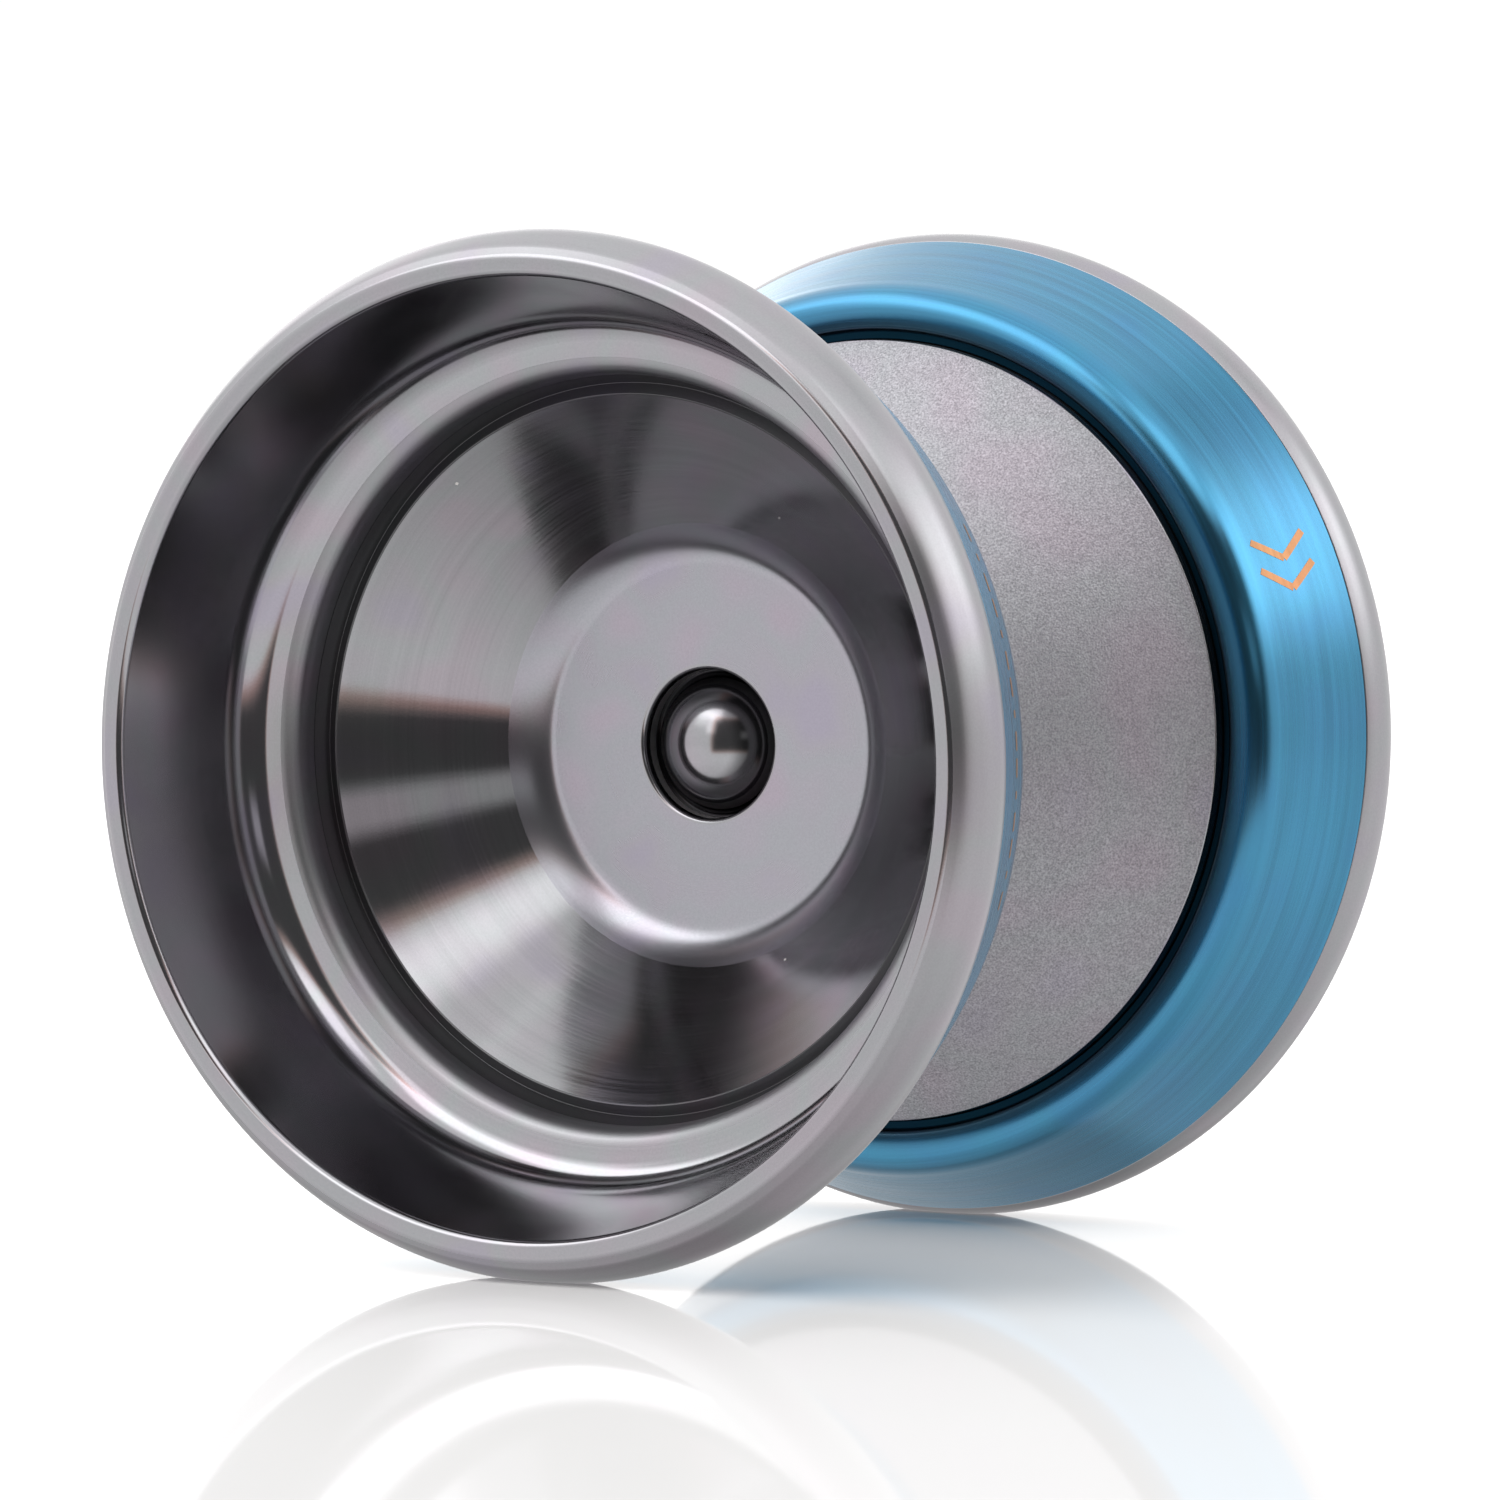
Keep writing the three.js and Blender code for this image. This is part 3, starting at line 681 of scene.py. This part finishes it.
def build_bearing():
    inner = lathe("bearing_inner_race_ground", inner_race_section(), True, SMALL_SIDES * 2, GROUND)
    outer = lathe("bearing_outer_race_ground", outer_race_section(), True, SMALL_SIDES * 2, GROUND)
    place_piece(inner, "left_half", ["bearing_inner_race"])
    place_piece(outer, "outer_race", ["bearing_outer_race"])
    for number in range(1, BALLS + 1):
        ball = lathe(f"bearing_ball_{number}_lapped", ball_section(BALL_R, "ball"), False, 48, BALL,
                     ball_centre(number))
        place_piece(ball, f"ball_{number}", [f"bearing_ball_{number}"])
    build_cage()
    for side in ("left", "right"):
        shield = lathe(f"{side}_shield_pressed", orient(shield_section(), True, side), True, SMALL_SIDES,
                       PRESSED)
        clip = lathe(f"{side}_snap_ring_sprung", orient(snap_ring_section(), True, side), True, SMALL_SIDES,
                     PRESSED, gap=24)
        clip.data.set_sharp_from_angle(angle=math.radians(50))
        place_piece(shield, "outer_race", [f"{side}_shield"])
        place_piece(clip, "outer_race", [f"{side}_snap_ring"])


# ---------------------------------------------------------------- the axle

AXLE_HALF, CREST_R, ROOT_R, PITCH, CHAMFER, HEX_HALF, HEX_DEPTH = 5.0, 2.0, 1.6, 0.7, 0.5, 1.0, 2.2
ROOT_FLAT, FLANK = 0.14, 0.62  # shares of a thread's half pitch


def thread_radius(angle, y):
    """The radius of a right-hand ISO thread, with flats at crest and root, chamfered at both ends."""
    phase = (y / PITCH - angle / TAU) % 1
    flank = min(max((abs(phase - 0.5) * 2 - ROOT_FLAT) / FLANK, 0.0), 1.0)
    return min(ROOT_R + (CREST_R - ROOT_R) * flank, CREST_R - CHAMFER + (AXLE_HALF - abs(y)))


def hex_radius(angle, _):
    within = (angle + TAU / 12) % (TAU / 6) - TAU / 12
    return HEX_HALF / math.cos(within)


def build_axle():
    """The set screw: socket, end face, thread, end face and socket, as one closed skin."""
    rows = [(-AXLE_HALF + HEX_DEPTH + 0.4, lambda a, y: 0.0), (-AXLE_HALF + HEX_DEPTH, hex_radius),
            (-AXLE_HALF + 0.05, hex_radius), (-AXLE_HALF, lambda a, y: hex_radius(a, y) + 0.05)]
    count = math.ceil(2 * AXLE_HALF / PITCH * 16)
    rows += [(-AXLE_HALF + 2 * AXLE_HALF * k / count, thread_radius) for k in range(count + 1)]
    rows += [(-y, radius) for y, radius in reversed(rows[:4])]
    bm = bmesh.new()
    rings = []
    for y, radius in rows:
        turns = [TAU * k / SMALL_SIDES for k in range(SMALL_SIDES if radius(0, y) else 1)]
        spots = [(radius(a, y) * math.sin(a) * MM, y * MM, radius(a, y) * math.cos(a) * MM) for a in turns]
        rings.append([bm.verts.new(spot) for spot in spots])
    for low, high in zip(rings, rings[1:]):
        band(bm, low, high, SMALL_SIDES)
    axle = mesh_from("axle_threaded", bm, None, AXLE.values())
    axle.data.set_sharp_from_angle(angle=math.radians(38))
    place_piece(axle, "axle", ["axle"])


build_half("left")
build_half("right")
build_marks("left", 188, 6)
build_marks("right", 22, 202)
build_bearing()
build_axle()


# ---------------------------------------------------------------- studio

FLOOR_HALF = 2.5  # metres
FLOOR_GLOSS = 0.36  # how much of the floor's light is mirrored


def build_floor():
    """A glossy white table top, whose fine unevenness blurs what it mirrors a little."""
    low = CAD_BOX[0].z
    bm = bmesh.new()
    bmesh.ops.create_grid(bm, x_segments=2, y_segments=2, size=FLOOR_HALF)
    for vertex in bm.verts:
        vertex.co.z = low
    material = bpy.data.materials.new("white_table")
    material.use_nodes = True
    tree = material.node_tree
    tree.nodes.clear()
    n = Nodes(tree)
    wave = n.bump(n.cloud(n.place(), 0.012, 2.0), 20)
    uneven = n.span(n.cloud(n.place(), 0.02, 2.0), 0.3, 0.7)
    white = n.mix(uneven, (0.89, 0.89, 0.89, 1), (0.91, 0.91, 0.91, 1))
    matte = n.add("ShaderNodeBsdfDiffuse", {"Color": white})
    gloss = n.add("ShaderNodeBsdfGlossy", {"Color": (1, 1, 1, 1), "Roughness": 0.04, "Normal": wave})
    both = n.add("ShaderNodeMixShader", {0: FLOOR_GLOSS, 1: matte, 2: gloss})
    output = tree.nodes.new("ShaderNodeOutputMaterial")
    tree.links.new(both, output.inputs["Surface"])
    floor = mesh_from("floor", bm, None, [material])
    floor.visible_glossy = False  # the metal mirrors the table that the studio's own light stands for


# The studio as the object sees it: (from and to azimuth, from and to elevation, soft edge, light added).
# Azimuth 0 is ahead of the axle's left end, at -Y, and 90 is at +X.
SOFTBOXES = (
    (86, 128, 18, 44, 9, 2.0),
    (-78, 4, 36, 62, 7, 1.7),
    (-42, -18, 24, 40, 6, 0.7),
    (-17, -3, 15, 40, 4, 0.9),
    (30, 76, 43, 62, 5, 1.2),
    (40, 62, 8, 18, 3, 0.52),
    (-152, -126, 0, 26, 8, 0.9),
    (-98, -80, 32, 54, 8, 0.8),
)
# Parts that are darker, with the same numbers but for the last, which is the share of the light taken away:
DARK_ROOM = (-6, 82, -12, 38, 4, 0.91)  # the unlit room behind the camera
BACK_TABLE = (-200, -100, -90, -14, 14, 0.45)  # the part of the table that the object stands in front of
SEAM = (122, 150, 50, 64, 6, 0.4)  # between the softbox on the right and the ceiling
ROOM_EDGE = (0.9, 0.58, 0.48, 1)  # the brown that the dark room's edge takes on
BACKDROP = 1.05  # how bright the camera sees the world behind the object


def build_studio():
    world = bpy.data.worlds.new("studio")
    bpy.context.scene.world = world
    world.use_nodes = True
    tree = world.node_tree
    tree.nodes.clear()
    n = Nodes(tree)
    split = tree.nodes.new("ShaderNodeSeparateXYZ")
    tree.links.new(n.add("ShaderNodeTexCoord", {}, output="Generated"), split.inputs[0])
    x, y, z = split.outputs
    degrees = 180 / math.pi
    azimuth = n.math("MULTIPLY", n.math("ARCTAN2", x, n.math("MULTIPLY", y, -1.0)), degrees)
    elevation = n.math("MULTIPLY", n.math("ARCSINE", z), degrees)

    def window(left, right, low, high, soft):
        edges = [n.span(azimuth, left - soft, left + soft, smooth=True),
                 n.span(azimuth, right - soft, right + soft, 1.0, 0.0, smooth=True),
                 n.span(elevation, low - soft, low + soft, smooth=True),
                 n.span(elevation, high - soft, high + soft, 1.0, 0.0, smooth=True)]
        product = edges[0]
        for edge in edges[1:]:
            product = n.math("MULTIPLY", product, edge)
        return product

    sky = n.span(elevation, -2, 60, 1.12, 1.38)
    table = n.span(elevation, -25, -85, 1.2, 0.62)
    above = n.span(elevation, -7, -4)
    light = n.math("ADD", n.math("MULTIPLY", sky, above),
                   n.math("MULTIPLY", table, n.math("SUBTRACT", 1.0, above)))
    room = window(*DARK_ROOM[:5])
    dim = [(room, DARK_ROOM[5])] + [(window(*dark[:5]), dark[5]) for dark in (BACK_TABLE, SEAM)]
    for inside, share in dim:
        light = n.math("MULTIPLY", light, n.math("SUBTRACT", 1.0, n.math("MULTIPLY", inside, share)))
    for *edges, added in SOFTBOXES:
        light = n.math("ADD", light, n.math("MULTIPLY", window(*edges), added))
    edge = n.math("MULTIPLY", room, n.math("SUBTRACT", 1.0, room))
    colour = n.mix(n.math("MULTIPLY", edge, 3.0), (1.0, 0.995, 0.99, 1), ROOM_EDGE)
    seen = n.add("ShaderNodeLightPath", {}, output="Is Camera Ray")
    strength = n.math("ADD", n.math("MULTIPLY", light, n.math("SUBTRACT", 1.0, seen)),
                      n.math("MULTIPLY", seen, BACKDROP))
    background = n.add("ShaderNodeBackground", {"Color": colour, "Strength": strength})
    output = tree.nodes.new("ShaderNodeOutputWorld")
    tree.links.new(background, output.inputs["Surface"])
    bpy.context.scene.view_settings.view_transform = "Standard"


VIEW_AZIMUTH, VIEW_ELEVATION = 31.48, 2.855  # degrees
VIEW_DISTANCE, VIEW_ACROSS, VIEW_UP = 500.1, -0.197, -0.525  # mm from the object's middle
LENS, SENSOR = 217.0, 36.0  # mm


def build_camera():
    """The view from the front right, just above the axle's height, through a long lens."""
    azimuth, elevation = math.radians(VIEW_AZIMUTH), math.radians(VIEW_ELEVATION)
    distance, across, up_by = VIEW_DISTANCE * MM, VIEW_ACROSS * MM, VIEW_UP * MM
    back = Vector((math.sin(azimuth) * math.cos(elevation), -math.cos(azimuth) * math.cos(elevation),
                   math.sin(elevation)))
    right = Vector((math.cos(azimuth), math.sin(azimuth), 0))
    up = back.cross(right)
    data = bpy.data.cameras.new("camera")
    data.lens, data.sensor_width = LENS, SENSOR
    data.clip_start, data.clip_end = 0.01, 50
    camera = bpy.data.objects.new("camera", data)
    camera.location = back * distance + right * across + up * up_by
    camera.rotation_mode = "QUATERNION"
    camera.rotation_quaternion = (-back).to_track_quat("-Z", "Y")
    bpy.context.scene.collection.objects.link(camera)
    bpy.context.scene.camera = camera


build_floor()
build_studio()
build_camera()
